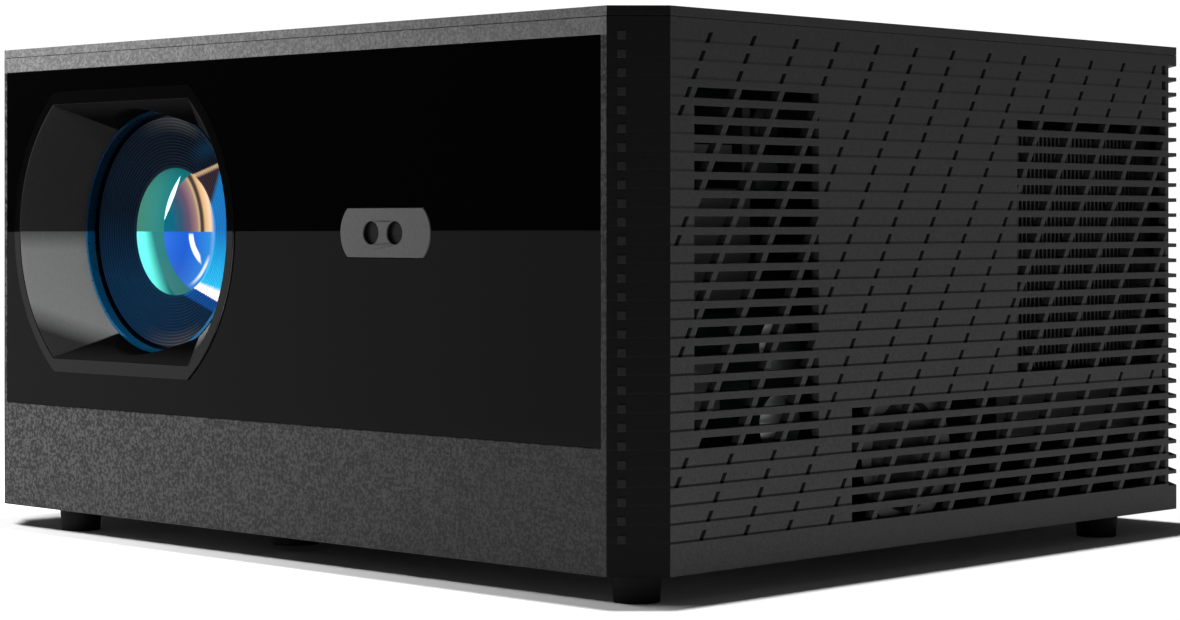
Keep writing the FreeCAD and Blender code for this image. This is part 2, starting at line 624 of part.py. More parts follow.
def sensors():
    face_y = -dim("case_deep") / 2
    z = dim("lens_z")
    plate = barrel_outline(dim("sensor_wide"), dim("sensor_tall"), dim("sensor_x"), z,
                           face_y - 0.2, face_y + dim("front_thick") + 0.6)
    spots = [dim("sensor_one"), dim("sensor_two")]
    holes = [Part.makeCylinder(dim("sensor_hole"), 8, V(x, face_y - 1, z), V(0, 1, 0))
             for x in spots]
    node(formed("sensor_bezel", plate.cut(holes)), "sensor_bezel")
    windows = [Part.makeCylinder(dim("sensor_hole") - 0.05, 2.4, V(x, face_y + 1.0, z), V(0, 1, 0))
               for x in spots]
    node(formed("sensor_windows", Part.makeCompound(windows)), "sensor_windows")
    board = Part.makeBox(40, 1.6, 20, V(dim("sensor_x") - 20, face_y + 6.6, z - 10))
    chips = [Part.makeBox(5, 2.6, 5, V(x - 2.5, face_y + 4.0, z - 2.5)) for x in spots]
    node(formed("sensor_board", board.fuse(chips)), "sensor_board")


# ---------------------------------------------------------------- light engine

def engine_outline(inset):
    """Plan of the light engine: lens arm, folded corner and lamp arm, moved in by an inset."""
    back = (dim("mirror_thick") + 2.4) * math.sqrt(2) + dim("fold_y") - dim("lens_x")
    step = inset * math.sqrt(2)
    left, right, rear = -114.0 + inset, 60.0 - inset, 118.0 - inset
    return [(left, -52 + inset), (-22 - inset, -52 + inset), (-22 - inset, 2 + inset),
            (right, 2 + inset), (right, rear), (rear - back + step, rear),
            (left, left + back - step)]


def engine():
    low, high, wall = dim("engine_low"), dim("engine_high"), dim("engine_wall")
    x, z = dim("lens_x"), dim("lens_z")
    block = prism(engine_outline(0), low, high)
    inside = prism(engine_outline(wall), low + wall, high + 1)
    light_in = Part.makeCylinder(31, 12, V(x, -56, z), V(0, 1, 0))
    lamp = Part.makeBox(8, 30, 30, V(56, dim("fold_y") - 15, z - 15))
    node(formed("engine_housing", block.cut([inside, light_in, lamp])), "engine_housing")
    lid = prism(engine_outline(0), high + 0.1, high + 2.3)
    ledge = prism(engine_outline(wall + 0.3), high - 1.5, high + 0.1)
    hollow = prism(engine_outline(wall + 2.3), high - 2, high + 0.1)
    node(formed("engine_lid", lid.fuse(ledge.cut(hollow)).removeSplitter()), "engine_lid")
    reach = dim("mirror_long") / 2 / math.sqrt(2)
    deep = dim("mirror_thick") / math.sqrt(2)
    fold = dim("fold_y")
    mirror = prism([(x - reach, fold - reach), (x + reach, fold + reach),
                    (x + reach - deep, fold + reach + deep),
                    (x - reach - deep, fold - reach + deep)], low + wall, 121.5)
    node(formed("fold_mirror", mirror), "fold_mirror")


def optics():
    y = "<fold_y> - <lcd_wide> / 2"
    low = "<lens_z> - <lcd_tall> / 2"
    node(box("lcd_panel", ("3", "<lcd_wide>", "<lcd_tall>"), ("<lcd_x>", y, low)), "lcd_panel")
    lenses = [box("fresnel_near", ("2", "<lcd_wide>", "<lcd_tall>"), ("<lcd_x> - 6", y, low)),
              box("fresnel_far", ("2", "<lcd_wide>", "<lcd_tall>"), ("<lcd_x> + 12", y, low))]
    node(group("fresnel_lenses", lenses), "fresnel_lenses")
    node(box("heat_glass", ("1.1", "<lcd_wide>", "<lcd_tall>"), ("<lcd_x> + 7", y, low)),
         "heat_glass")
    z, fold = dim("lens_z"), dim("fold_y")
    wide_x, thin_x = dim("lcd_x") + 15, 57.0

    def ring(x, half_y, half_z):
        corners = [V(x, fold - half_y, z - half_z), V(x, fold + half_y, z - half_z),
                   V(x, fold + half_y, z + half_z), V(x, fold - half_y, z + half_z)]
        return Part.makePolygon(corners + [corners[0]])

    outer = Part.makeLoft([ring(wide_x, 51.5, 35.4), ring(thin_x, 14, 14)], True, True)
    inner = Part.makeLoft([ring(wide_x - 0.01, 50.2, 34.1), ring(thin_x + 0.01, 12.7, 12.7)],
                          True, True)
    node(formed("light_cone", outer.cut(inner)), "light_cone")
    carrier = box("led_carrier", ("2.5", "40", "40"), ("60", "<fold_y> - 20", "<lens_z> - 20"))
    chip = box("led_chip", ("2", "22", "22"), ("58.1", "<fold_y> - 11", "<lens_z> - 11"))
    node(fuse("led_module", [carrier, chip]), "led_module")


def heat_sink():
    """Base plate and thin upright fins, as one comb drawn in plan."""
    left, right = dim("sink_left"), dim("sink_right")
    near, far = dim("sink_near"), dim("sink_far")
    outline = [(left, near), (left, far)]
    count = int((far - near - dim("sink_fin")) / dim("sink_pitch"))
    y = near + count * dim("sink_pitch")
    outline[1] = (left, y + dim("sink_fin"))
    for index in range(count, -1, -1):
        y = near + index * dim("sink_pitch")
        outline += [(right, y + dim("sink_fin")), (right, y)]
        if index:
            outline += [(left + 5, y), (left + 5, y - dim("sink_pitch") + dim("sink_fin"))]
    block = prism(outline, dim("sink_low"), dim("sink_high"))
    pad = Part.makeBox(left - 62.5, 44, 44, V(62.5, dim("fold_y") - 22, dim("lens_z") - 22))
    node(formed("heat_sink", block.fuse(pad)), "heat_sink")


# ---------------------------------------------------------------- fans

def fan_shapes(side, thick, hub, blades):
    """Frame and rotor of an axial fan about +Z, lowest face at z = 0, middle at the origin."""
    bore = side / 2 - 1.5
    frame = Part.makeBox(side, side, thick, V(-side / 2, -side / 2, 0))
    frame = frame.cut(Part.makeCylinder(bore, thick + 2, V(0, 0, -1)))
    screw = side / 2 - 3.2
    holes = [Part.makeCylinder(1.7, thick + 2, V(a * screw, b * screw, -1))
             for a in (-1, 1) for b in (-1, 1)]
    cup = Part.makeCylinder(hub, 2.0, V(0, 0, 0))
    pin = Part.makeCylinder(1.4, thick - 5.3, V(0, 0, 1.9))
    struts = []
    for index in range(3):
        strut = Part.makeBox(bore + 0.6 - 2, 2.4, 2.0, V(2, -1.2, 0))
        strut.rotate(V(0, 0, 0), V(0, 0, 1), 120 * index + 30)
        struts.append(strut)
    frame = frame.cut(holes).fuse([cup, pin] + struts)
    rotor = Part.makeCylinder(hub, thick - 3.2, V(0, 0, 2.6))
    vanes = []
    for index in range(blades):
        vane = Part.makeBox(bore - 1.0 - hub + 2, 1.3, thick - 6, V(hub - 2, -0.65, -(thick - 6) / 2))
        vane.rotate(V(0, 0, 0), V(1, 0, 0), 42)
        vane.translate(V(0, 0, 2.6 + (thick - 3.2) / 2))
        vane.rotate(V(0, 0, 0), V(0, 0, 1), 360.0 * index / blades)
        vanes.append(vane)
    inside = Part.makeCylinder(bore - 0.8, thick - 3.2, V(0, 0, 2.6))
    rotor = rotor.fuse([vane.common(inside) for vane in vanes])
    rotor = rotor.cut(Part.makeCylinder(1.46, thick - 5.6, V(0, 0, 2.5)))
    return frame, rotor


def fans():
    frame, rotor = fan_shapes(dim("fan_side"), dim("fan_thick"), 15.5, 9)
    middle = V(93.0, (dim("sink_near") + dim("sink_far")) / 2, dim("fan_low"))
    for label, shape in (("exhaust_fan_frame", frame), ("exhaust_fan_rotor", rotor)):
        shape.translate(middle)
        node(formed(label, shape), label)
    frame, rotor = fan_shapes(dim("small_fan"), dim("fan_thick"), 11.5, 7)
    for label, shape in (("intake_fan_frame", frame), ("intake_fan_rotor", rotor)):
        shape.rotate(V(0, 0, 0), V(0, 1, 0), 90)
        shape.translate(V(-131.8, 78.0, 82.0))
        node(formed(label, shape), label)
    node(box("dust_filter", ("2.5", "52", "54"), ("<wall> - <case_wide> / 2", "51.5", "55")),
         "dust_filter")


# ---------------------------------------------------------------- electronics

def electronics():
    board = box("main_plate", ("134", "122", "1.6"), ("-104", "-6", "20"))
    spacers = [rod("main_spacer_%d" % i, "3", "20 - <foot_tall> - <base_thick>",
                   (str(x), str(y), "<foot_tall> + <base_thick>"))
               for i, (x, y) in enumerate(((-98.0, 0.0), (24.0, 0.0), (-98.0, 96.0),
                                           (24.0, 100.0)))]
    node(fuse("main_board", [board] + spacers), "main_board")
    fins = [box("chip_fin_%d" % i, ("1.2", "30", "8"), (str(-60 + 4.0 * i), "40", "24.6"))
            for i in range(8)]
    plate = box("chip_plate", ("29.2", "30", "3"), ("-60", "40", "21.6"))
    node(fuse("processor_heatsink", [plate] + fins), "processor_heatsink")
    hdmi = []
    for index, (x, z) in enumerate(PORTS["hdmi"]):
        shell = box("hdmi_shell_%d" % index, ("15", "17.5", "8.4"), (str(x - 7.5), "102", "21.6"))
        mouth = box("hdmi_mouth_%d" % index, ("13.8", "12", "4.8"),
                    (str(x - 6.9), "109", str(z - 2.4)))
        hdmi.append(cut("hdmi_%d" % index, shell, [mouth]))
    node(group("hdmi_ports", hdmi), "hdmi_ports")
    usb = []
    for index, (x, z) in enumerate(PORTS["usb"]):
        shell = box("usb_shell_%d" % index, ("13.2", "17.5", "8.4"), (str(x - 6.6), "102", "21.6"))
        mouth = box("usb_mouth_%d" % index, ("12", "12", "4.6"), (str(x - 6), "109", str(z - 2.3)))
        usb.append(cut("usb_%d" % index, shell, [mouth]))
    node(group("usb_ports", usb), "usb_ports")
    x, z = PORTS["audio"]
    block = box("audio_block", ("9", "12", "9.4"), (str(x - 4.5), "105", "21.6"))
    nose = rod("audio_nose", "3.4", "4.5", (str(x), "117", str(z)), "y")
    hole = rod("audio_hole", "1.8", "16", (str(x), "106.5", str(z)), "y")
    node(cut("audio_jack", fuse("audio_whole", [block, nose]), [hole]), "audio_jack")
    x, z = PORTS["ir"]
    lens = rod("ir_lens", "5.1", "2.4", (str(x), "<case_deep> / 2 - 2.5", str(z)), "y")
    head = box("ir_head", ("7", "6.4", "10"), (str(x - 3.5), "113.3", "21.6"))
    node(fuse("ir_receiver", [lens, head]), "ir_receiver")
    x, z = PORTS["ac"]
    flange = box("ac_flange", ("30", "2", "22.6"), (str(x - 15), "<case_deep> / 2 - <wall> - 2",
                                                    str(z - 11.3)))
    shell = box("ac_shell", ("27", "17.9", "19.6"), (str(x - 13.5), "104", str(z - 9.8)))
    well = box("ac_well", ("24.4", "20", "17"), (str(x - 12.2), "106", str(z - 8.5)))
    pins = [box("ac_pin_%d" % i, ("2", "10", "4"), (str(x - 1 + 7.0 * (i - 1)), "105.5",
                                                    str(z - (-1 if i == 1 else 3))))
            for i in range(3)]
    hollow = cut("ac_hollow", fuse("ac_whole", [flange, shell]), [well])
    node(fuse("ac_inlet", [hollow] + pins), "ac_inlet")


def power_supply():
    board = box("psu_plate", ("1.6", "62", "112"), ("100", "-104", "14"))
    feet_list = [box("psu_leg_%d" % i, ("6", "8", "5.2"), ("100", str(y), "<foot_tall> + <base_thick>"))
                 for i, y in enumerate((-96.0, -58.0))]
    node(fuse("psu_board", [board] + feet_list), "psu_board")
    node(box("psu_transformer", ("24", "28", "30"), ("101.6", "-98", "70")), "psu_transformer")
    cans = [rod("psu_can_0", "8", "26", ("101.6", "-60", "40"), "x"),
            rod("psu_can_1", "8", "26", ("101.6", "-60", "60"), "x"),
            rod("psu_can_2", "5", "18", ("101.6", "-56", "104"), "x"),
            rod("psu_can_3", "5", "18", ("101.6", "-56", "117"), "x")]
    node(group("psu_capacitors", cans), "psu_capacitors")
    sinks = [box("psu_sink_0", ("22", "3", "40"), ("101.6", "-70", "82")),
             box("psu_sink_1", ("22", "26", "3"), ("101.6", "-100", "108")),
             box("psu_sink_2", ("18", "24", "12"), ("101.6", "-98", "44"))]
    node(group("psu_heatsinks", sinks), "psu_heatsinks")


def speaker(label, x, y, z, facing, radius, deep):
    """Basket, cone and magnet of a small speaker that faces one side."""
    profile = [(0, radius), (2, radius), (2, radius - 3), (deep - 6, radius * 0.55),
               (deep - 6, radius * 0.5), (deep, radius * 0.5), (deep, 0), (3.2, 0),
               (3.2, radius * 0.25), (1.2, radius - 5), (0, radius - 4)]
    corners = [V(x - facing * a, y, z + r) for a, r in profile]
    face = Part.Face(Part.makePolygon(corners + [corners[0]]))
    node(formed(label, face.revolve(V(x, y, z), V(1, 0, 0), 360)), label)


def keys():
    under = WALL_TOP + " + <seam>"
    for label, (x, y) in KEYS.items():
        cap = rod(label + "_cap", "<key_radius>", "<cover_thick>", (str(x), str(y), under))
        rim = rod(label + "_rim", "<key_radius> + 1.5", "1.2", (str(x), str(y), under + " - 1.35"))
        stem = rod(label + "_stem", "<key_radius>", "0.4", (str(x), str(y), under + " - 0.3"))
        foot = rod(label + "_foot", "1.6", "1.2", (str(x), str(y), under + " - 2.3"))
        node(fuse(label, [cap, rim, stem, foot]), label)
    plate = box("keypad_plate", ("78", "52", "1.6"), ("34", "50", under + " - 6.6"))
    switches = [rod("switch_" + label, "2.2", "1.6", (str(x), str(y), under + " - 5.05"))
                for label, (x, y) in KEYS.items()]
    pillars = [rod("keypad_pillar_%d" % i, "2.2", "5.05", (str(x), str(y), under + " - 5.05"))
               for i, (x, y) in enumerate(((37.0, 53.0), (109.0, 53.0), (37.0, 99.0),
                                           (109.0, 99.0)))]
    node(fuse("keypad_board", [plate] + switches + pillars), "keypad_board")


# ---------------------------------------------------------------- build, check and write

def build():
    top_cover()
    base_tray()
    side_grille("right_side_grille", 1)
    side_grille("left_side_grille", -1)
    front_frame()
    front_glass()
    rear_panel()
    feet()
    case_screws()
    inserts()
    adjuster()
    lens_hood()
    lens_group()
    lens_housing()
    focus_drive()
    sensors()
    engine()
    optics()
    heat_sink()
    fans()
    electronics()
    power_supply()
    speaker("speaker_left", -134.3, -66.0, 30.0, -1, 19.0, 19.0)
    speaker("speaker_right", 134.3, -16.0, 30.0, 1, 19.0, 19.0)
    keys()
    doc.recompute()


def write():
    os.makedirs("parts", exist_ok=True)
    for obj in doc.Objects:
        if "Invalid" in obj.State or "Error" in obj.State:
            raise RuntimeError("feature %s failed: %s" % (obj.Name, obj.State))
    for obj in NODES:
        shape = obj.Shape
        if shape.isNull() or not shape.isValid() or not shape.Solids:
            raise RuntimeError("sub-part %s has no valid solid" % obj.Label)
        shape.exportStep("parts/%s.step" % obj.Label)
        print("%-20s solids %d volume %.1f" % (obj.Label, len(shape.Solids), shape.Volume))
    print("nodes", len(NODES))


build()
write()
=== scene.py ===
"""Looks for the home projector: materials, fine pieces, floor, light and camera."""
import json
import math

import bmesh
import bpy
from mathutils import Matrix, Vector


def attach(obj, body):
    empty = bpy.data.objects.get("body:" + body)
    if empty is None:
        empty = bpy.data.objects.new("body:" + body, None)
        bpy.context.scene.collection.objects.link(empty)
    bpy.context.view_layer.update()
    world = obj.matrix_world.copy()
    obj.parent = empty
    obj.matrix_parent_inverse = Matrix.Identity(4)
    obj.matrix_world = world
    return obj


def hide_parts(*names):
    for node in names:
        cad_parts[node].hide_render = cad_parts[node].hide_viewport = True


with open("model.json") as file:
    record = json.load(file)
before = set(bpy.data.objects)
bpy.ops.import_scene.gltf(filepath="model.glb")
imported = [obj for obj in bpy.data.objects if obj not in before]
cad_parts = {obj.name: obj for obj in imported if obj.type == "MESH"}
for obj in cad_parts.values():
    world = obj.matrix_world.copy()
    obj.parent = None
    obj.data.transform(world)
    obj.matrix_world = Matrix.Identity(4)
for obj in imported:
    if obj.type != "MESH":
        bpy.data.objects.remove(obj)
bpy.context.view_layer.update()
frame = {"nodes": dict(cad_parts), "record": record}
NODES = frame["nodes"]
MM = 0.001

# Sizes in millimetres, as in the CAD sheet.
CASE_X, CASE_Y, CASE_TOP = 136.7, 122.15, 143.5
FACET_LEG, ROW_PITCH, ROW_FIRST, ROWS = 10.7, 4.476, 8.35, 28
FACE_X, FACE_Y = CASE_X - FACET_LEG, CASE_Y - FACET_LEG
GLASS_TOP, REAR_FINS = 136.45, 107.0
LENS_X, LENS_Z = -68.0, 88.8
MOUTH_Y, MOUTH_FLAT, MOUTH_TAPER = -122.55, 37.5, 0.509
GROOVE_Y = -105.9


# ---------------------------------------------------------------- node helpers

class Look:
    """A node material with short calls for the nodes that the looks below use."""

    def __init__(self, name, **sockets):
        self.material = bpy.data.materials.new(name)
        self.material.use_nodes = True
        self.tree = self.material.node_tree
        self.shader = self.tree.nodes["Principled BSDF"]
        self.place = self.tree.nodes.new("ShaderNodeTexCoord").outputs["Object"]
        for label, value in sockets.items():
            self.set(label.replace("_", " "), value)

    def set(self, label, value):
        names = {s.name.lower(): s for s in self.shader.inputs}
        socket = names[label.lower()]
        if isinstance(value, bpy.types.NodeSocket):
            self.tree.links.new(value, socket)
        elif socket.type == "RGBA":
            socket.default_value = (*value, 1.0)
        else:
            socket.default_value = value

    def node(self, kind, out=0, inputs=(), **settings):
        made = self.tree.nodes.new(kind)
        for key, value in settings.items():
            setattr(made, key, value)
        for key, value in dict(inputs).items():
            if isinstance(value, bpy.types.NodeSocket):
                self.tree.links.new(value, made.inputs[key])
            else:
                made.inputs[key].default_value = value
        return made.outputs[out]

    def noise(self, scale, detail=3.0, rough=0.55, place=None):
        return self.node("ShaderNodeTexNoise", 0, {"Vector": place or self.place, "Scale": scale,
                                                   "Detail": detail, "Roughness": rough})

    def cells(self, scale, feature="F1", randomness=1.0):
        made = self.tree.nodes.new("ShaderNodeTexVoronoi")
        made.feature = feature
        self.tree.links.new(self.place, made.inputs["Vector"])
        made.inputs["Scale"].default_value = scale
        made.inputs["Randomness"].default_value = randomness
        return made.outputs["Distance"]

    def maths(self, operation, a, b=0.0):
        return self.node("ShaderNodeMath", 0, {0: a, 1: b}, operation=operation)

    def weighed(self, a, share_a, b, share_b):
        return self.maths("ADD", self.maths("MULTIPLY", a, share_a),
                          self.maths("MULTIPLY", b, share_b))

    def ramp(self, value, stops):
        made = self.tree.nodes.new("ShaderNodeValToRGB")
        points = made.color_ramp.elements
        while len(points) < len(stops):
            points.new(0.5)
        for point, (at, colour) in zip(points, stops):
            point.position = at
            point.color = (*colour, 1.0) if isinstance(colour, tuple) else (colour,) * 3 + (1.0,)
        self.tree.links.new(value, made.inputs[0])
        return made.outputs["Color"]

    def range(self, value, low, high, to_low=0.0, to_high=1.0):
        return self.node("ShaderNodeMapRange", 0, {"Value": value, "From Min": low,
                                                   "From Max": high, "To Min": to_low,
                                                   "To Max": to_high})

    def mix(self, share, a, b):
        made = self.tree.nodes.new("ShaderNodeMix")
        made.data_type = "RGBA"
        colour = [s for s in made.inputs if s.type == "RGBA"]
        for socket, value in ((made.inputs[0], share), (colour[0], a), (colour[1], b)):
            if isinstance(value, bpy.types.NodeSocket):
                self.tree.links.new(value, socket)
            elif isinstance(value, tuple):
                socket.default_value = (*value, 1.0)
            else:
                socket.default_value = value
        return [s for s in made.outputs if s.type == "RGBA"][0]

    def axes(self):
        """Object coordinates as three values in millimetres."""
        scaled = self.node("ShaderNodeVectorMath", 0, {0: self.place, 1: (1000, 1000, 1000)},
                           operation="MULTIPLY")
        split = self.tree.nodes.new("ShaderNodeSeparateXYZ")
        self.tree.links.new(scaled, split.inputs[0])
        return split.outputs

    def bump(self, height, distance, strength=1.0, round_edge=0.0):
        inputs = {"Height": height, "Distance": distance, "Strength": strength}
        if round_edge:
            inputs["Normal"] = self.node("ShaderNodeBevel", 0, {"Radius": round_edge}, samples=4)
        return self.node("ShaderNodeBump", 0, inputs)


# ---------------------------------------------------------------- materials

def plain(name, colour, rough, **more):
    """Moulded plastic, rubber or glass: a fine grain, slightly uneven colour and gloss."""
    look = Look(name, **more)
    fine = look.noise(900.0, 2.0)
    broad = look.noise(35.0, 4.0)
    shade = look.range(look.weighed(fine, 0.5, broad, 0.5), 0.3, 0.7)
    spread = 0.18
    dark = tuple(c * (1 - spread) for c in colour)
    light = tuple(min(1.0, c * (1 + spread)) for c in colour)
    look.set("Base Color", look.mix(shade, dark, light))
    look.set("Roughness", look.range(broad, 0.3, 0.7, rough - 0.05, rough + 0.05))
    look.set("Normal", look.bump(fine, 0.00004))
    return look.material


def speckles(look):
    """Paint colour and fleck mask: light flecks that thin out towards +X and downwards, painted
    light for the brighter top left; paler over the glass, partly painted light for the lit top
    edge.
    """
    x, _, z = look.axes()
    flecks = look.noise(900.0, 2.5, 0.75)
    fine = look.noise(1500.0, 2.0)
    island = look.noise(260.0, 4.0, 0.75)
    mask = look.range(look.weighed(flecks, 0.7, island, 0.3), 0.47, 0.55)
    # painted light: the flecks fade away from the top left, where the light falls
    painted_shading_falloff = look.range(look.weighed(x, 1.0, z, -1.2), -190.0, 60.0, 1.0, 0.3)
    mask = look.maths("MULTIPLY", mask, painted_shading_falloff)
    lower = look.mix(mask, look.ramp(fine, [(0.3, 0.01), (0.7, 0.028)]),
                     look.ramp(fine, [(0.3, 0.07), (0.7, 0.1)]))
    # the strip above the glass is painted paler, partly standing in for the light on its top edge
    upper = look.mix(mask, look.ramp(fine, [(0.3, 0.08), (0.7, 0.115)]),
                     look.ramp(fine, [(0.3, 0.135), (0.7, 0.175)]))
    return look.mix(look.maths("GREATER_THAN", z, GLASS_TOP), lower, upper), mask


def case_material():
    """Dark plastic painted lighter lower down as painted light from the floor, a painted shade
    line under each grille row that darkens lower down, dark facets and a painted front edge.
    """
    look = Look("case_plastic", Specular_IOR_Level=0.12)
    x, y, z = look.axes()
    fine = look.noise(2300.0, 2.0)
    soft = look.noise(1000.0, 2.0)
    grain = look.weighed(fine, 0.6, soft, 0.4)
    # painted light: lighter towards the bottom, standing in for light from the floor
    colour = look.mix(look.range(z, 140.0, 20.0), look.ramp(grain, [(0.3, 0.024), (0.7, 0.042)]),
                      look.ramp(grain, [(0.3, 0.042), (0.7, 0.074)]))
    beyond = look.maths("ABSOLUTE", x)
    brow = look.maths("MULTIPLY", look.maths("LESS_THAN", y, 0.25 - CASE_Y),
                      look.maths("LESS_THAN", beyond, FACE_X - 0.05))
    colour = look.mix(brow, colour, speckles(look)[0])
    facet = look.maths("MULTIPLY", look.maths("LESS_THAN", y, 0.15 - FACE_Y),
                       look.maths("GREATER_THAN", beyond, FACE_X - 0.05))
    colour = look.mix(facet, colour, look.ramp(grain, [(0.35, 0.001), (0.65, 0.003)]))
    row = look.maths("DIVIDE", look.maths("SUBTRACT", CASE_TOP - ROW_FIRST, z), ROW_PITCH)
    inside = look.maths("MULTIPLY", look.maths("GREATER_THAN", row, -0.3),
                        look.maths("LESS_THAN", row, ROWS - 0.7))
    phase = look.maths("FRACT", look.maths("ADD", row, 10.0))
    line = look.maths("MULTIPLY", look.maths("GREATER_THAN", phase, 0.87), inside)
    walls = look.maths("MULTIPLY", look.maths("GREATER_THAN", beyond, FACE_X - 0.1),
                       look.maths("LESS_THAN", y, REAR_FINS))
    line = look.maths("MULTIPLY", line, walls)
    # painted shade: a dark line in the groove under each row, stronger lower down
    painted_groove_shade = look.maths("MULTIPLY", line, look.range(z, 125.0, 60.0, 0.35, 0.95))
    look.set("Base Color", look.mix(painted_groove_shade, colour, (0.004, 0.004, 0.004)))
    look.set("Roughness", look.range(soft, 0.3, 0.7, 0.5, 0.62))
    height = look.maths("SUBTRACT", look.maths("MULTIPLY", grain, 0.10),
                        look.maths("MULTIPLY", line, 0.9))
    look.set("Normal", look.bump(height, 0.0005, 0.9, round_edge=0.00025))
    return look.material


def stone_paint():
    """Speckled paint of the front frame."""
    look = Look("speckled_paint", Specular_IOR_Level=0.2)
    colour, mask = speckles(look)
    fine = look.noise(1500.0, 2.0)
    look.set("Base Color", colour)
    look.set("Roughness", look.range(fine, 0.3, 0.7, 0.5, 0.66))
    height = look.weighed(mask, 0.5, fine, 0.4)
    look.set("Normal", look.bump(height, 0.00018, 0.8, round_edge=0.0003))
    return look.material


def black_glass():
    look = Look("front_black_glass", Base_Color=(0.0006, 0.0006, 0.0007), IOR=1.5,
                Specular_IOR_Level=0.073)
    haze = look.noise(6.0, 3.0)
    look.set("Roughness", look.range(haze, 0.3, 0.7, 0.0, 0.012))
    return look.material


def hood_material():
    """Lining of the lens recess: a painted floor reflection makes it paler below the lens axis and
    dark above; the flats get painted shade further in; a dark, clear-coated lip.
    """
    look = Look("hood_satin", Coat_Roughness=0.01, Specular_IOR_Level=0.0)
    _, y, z = look.axes()
    up = look.maths("SUBTRACT", z, LENS_Z)
    fine = look.noise(1500.0, 2.0)
    # painted reflection of the floor below the lens axis, fading out near the foot of the wall
    painted_floor_reflection = look.maths("ADD", look.range(up, 0.1, -0.1, 0.0, 0.35),
                      look.range(up, 0.0, -5.5, 0.0, 0.65))
    foot = look.maths("ADD", up, look.maths("MULTIPLY", look.maths("ADD", y, 122.0), 0.62))
    painted_floor_reflection = look.maths("MULTIPLY", painted_floor_reflection, look.range(foot, -29.5, -21.0, 0.05, 1.0))
    wall = look.mix(painted_floor_reflection, look.ramp(fine, [(0.3, 0.012), (0.7, 0.015)]),
                    look.ramp(fine, [(0.3, 0.14), (0.7, 0.155)]))
    height = look.weighed(look.maths("ABSOLUTE", up), 1.0,
                          look.maths("SUBTRACT", y, MOUTH_Y), MOUTH_TAPER)
    flat = look.range(height, MOUTH_FLAT - 0.4, MOUTH_FLAT - 0.1)
    # painted shade: the flats darken further into the recess
    painted_shading_falloff = look.range(y, -121.0, -114.0)
    ledge = look.mix(painted_shading_falloff, (0.008, 0.008, 0.008), (0.002, 0.002, 0.002))
    colour = look.mix(flat, wall, ledge)
    lip = look.maths("LESS_THAN", y, MOUTH_Y + 0.15)
    look.set("Base Color", look.mix(lip, colour, look.ramp(fine, [(0.3, 0.0008), (0.7, 0.0016)])))
    look.set("Coat Weight", look.maths("MULTIPLY", lip, 0.5))
    look.set("Roughness", look.range(fine, 0.3, 0.7, 0.4, 0.5))
    return look.material


def lens_frame(look):
    """Millimetres across and up from the lens axis, and the depth, of a point on the lens."""
    x, y, z = look.axes()
    across = look.maths("SUBTRACT", x, LENS_X)
    up = look.maths("SUBTRACT", z, LENS_Z)
    return across, up, y


def reach(look, across, up, centre=0.0, squash=1.0):
    """Distance from a point on the level line through the lens axis."""
    side = look.maths("SUBTRACT", across, centre)
    tall = look.maths("MULTIPLY", up, squash)
    return look.maths("SQRT", look.maths("ADD", look.maths("MULTIPLY", side, side),
                                         look.maths("MULTIPLY", tall, tall)))


def blue_metal():
    """Blue anodised ring down to its groove, brighter blue below the lens axis as a painted floor
    reflection; painted black inside the groove as shade.
    """
    look = Look("anodised_blue", Metallic=0.7)
    _, up, depth = lens_frame(look)
    front = look.maths("LESS_THAN", depth, GROOVE_Y)
    grain = look.noise(900.0, 2.0)
    blue = look.ramp(grain, [(0.3, (0.0012, 0.022, 0.054)), (0.7, (0.0014, 0.025, 0.06))])
    # painted reflection of the floor: brighter blue below the lens axis
    blue = look.mix(look.range(up, 0.2, -0.2), blue, (0.01, 0.17, 0.38))
    # painted shade: black inside the groove
    look.set("Base Color", look.mix(front, (0.002, 0.002, 0.0025), blue))
    look.set("Roughness", look.range(grain, 0.3, 0.7, 0.26, 0.34))
    return look.material


def band(look, value, low, high, soft):
    """One between two limits of a value and zero outside them."""
    rise = look.range(value, low - soft, low + soft)
    fall = look.range(value, high + soft, high - soft)
    return look.maths("MULTIPLY", rise, fall)


